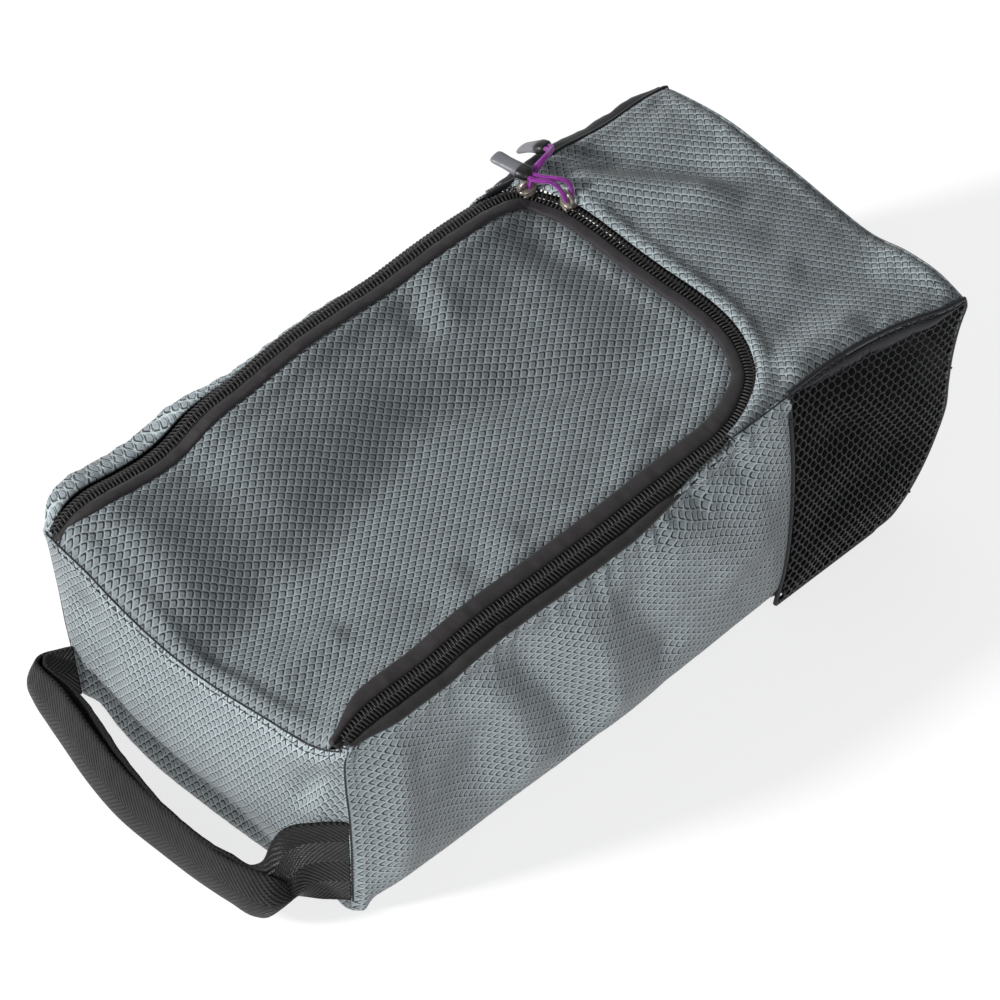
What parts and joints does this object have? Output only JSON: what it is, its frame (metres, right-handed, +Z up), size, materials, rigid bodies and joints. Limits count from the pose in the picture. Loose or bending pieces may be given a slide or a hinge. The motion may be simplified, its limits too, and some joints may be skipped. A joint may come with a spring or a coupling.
{
  "type": "golf shoe bag",
  "caption": "Soft zipped golf shoe bag with a U-shaped two-way coil zip lid, net vents at the toe end, corded zip pulls and a webbing grab handle.",
  "frame": {"origin": "centre of the flat underside of the base panel (midway along the bag's length from handle end to toe end, midway across its width)", "axes": "+Z up out of the lid, +Y from the handle end to the toe end, +X to the bag's right side"},
  "size_m": [0.2057, 0.4173, 0.1273],
  "materials": {
    "grey_weave": "coarse dobby weave polyester in cool grey with dark chevrons, padded",
    "black_net": "open hexagonal warp-knit net, black",
    "charcoal_band": "folded plain-weave ribbon, charcoal",
    "zip_tape": "woven zip tape, black",
    "zip_coil": "nylon coil, semi-gloss black",
    "gunmetal": "cast zinc with a warm gunmetal plating",
    "purple_cord": "smooth braided cord, purple",
    "grey_tab": "moulded soft-touch grey",
    "black_collar": "moulded black",
    "black_webbing": "herringbone polyester webbing, black, soft sheen",
    "binding_tape": "grosgrain seam binding, black"
  },
  "bodies": {
    "root": {"base_panel": "grey_weave", "handle_end_panel": "grey_weave", "side_panel_left": "grey_weave", "side_panel_right": "grey_weave", "toe_end_panel": "grey_weave", "toe_top_panel": "grey_weave", "mesh_panel_left": "black_net", "mesh_panel_right": "black_net", "zip_tape_outer": "zip_tape", "zip_coil_outer": "zip_coil", "handle_anchor_left": "black_webbing", "handle_anchor_right": "black_webbing", "binding_base_left": "binding_tape", "binding_base_right": "binding_tape", "binding_corner_left": "binding_tape", "binding_corner_right": "binding_tape", "binding_handle_end": "binding_tape", "binding_hinge": "binding_tape", "binding_toe_end": "binding_tape"},
    "lid": {"lid_panel": "grey_weave", "lid_edge_band": "charcoal_band", "zip_tape_inner": "zip_tape", "zip_coil_inner": "zip_coil"},
    "handle": {"handle_grip": "black_webbing"},
    "slider_left": {"slider_left": "gunmetal"},
    "slider_right": {"slider_right": "gunmetal"},
    "pull_left": {"pull_cord_left": "purple_cord", "pull_tab_left": "grey_tab", "pull_collar_left": "black_collar"},
    "pull_right": {"pull_cord_right": "purple_cord", "pull_tab_right": "grey_tab", "pull_collar_right": "black_collar"}
  },
  "joints": [
    {"name": "lid_hinge", "type": "hinge", "parent": "root", "child": "lid", "pos_m": [0, -0.1875, 0.101], "axis": [1, 0, 0], "range_deg": [0, 170]},
    {"name": "handle_swing", "type": "hinge", "parent": "root", "child": "handle", "pos_m": [0, -0.1897, 0.0355], "axis": [-1, 0, 0], "range_deg": [0, 80]},
    {"name": "slider_left_slide", "type": "slide", "parent": "lid", "child": "slider_left", "axis": [-0.0126, -0.9999, 0], "range_m": [0, 0.265]},
    {"name": "slider_right_slide", "type": "slide", "parent": "lid", "child": "slider_right", "axis": [1, 0, 0], "range_m": [0, 0.095]},
    {"name": "pull_left_swing", "type": "hinge", "parent": "slider_left", "child": "pull_left", "pos_m": [-0.084, 0.0945, 0.1152], "axis": [0, 1, 0], "range_deg": [0, 70]},
    {"name": "pull_right_swing", "type": "hinge", "parent": "slider_right", "child": "pull_right", "pos_m": [-0.066, 0.1035, 0.1152], "axis": [-1, 0, 0], "range_deg": [0, 75]}
  ]
}
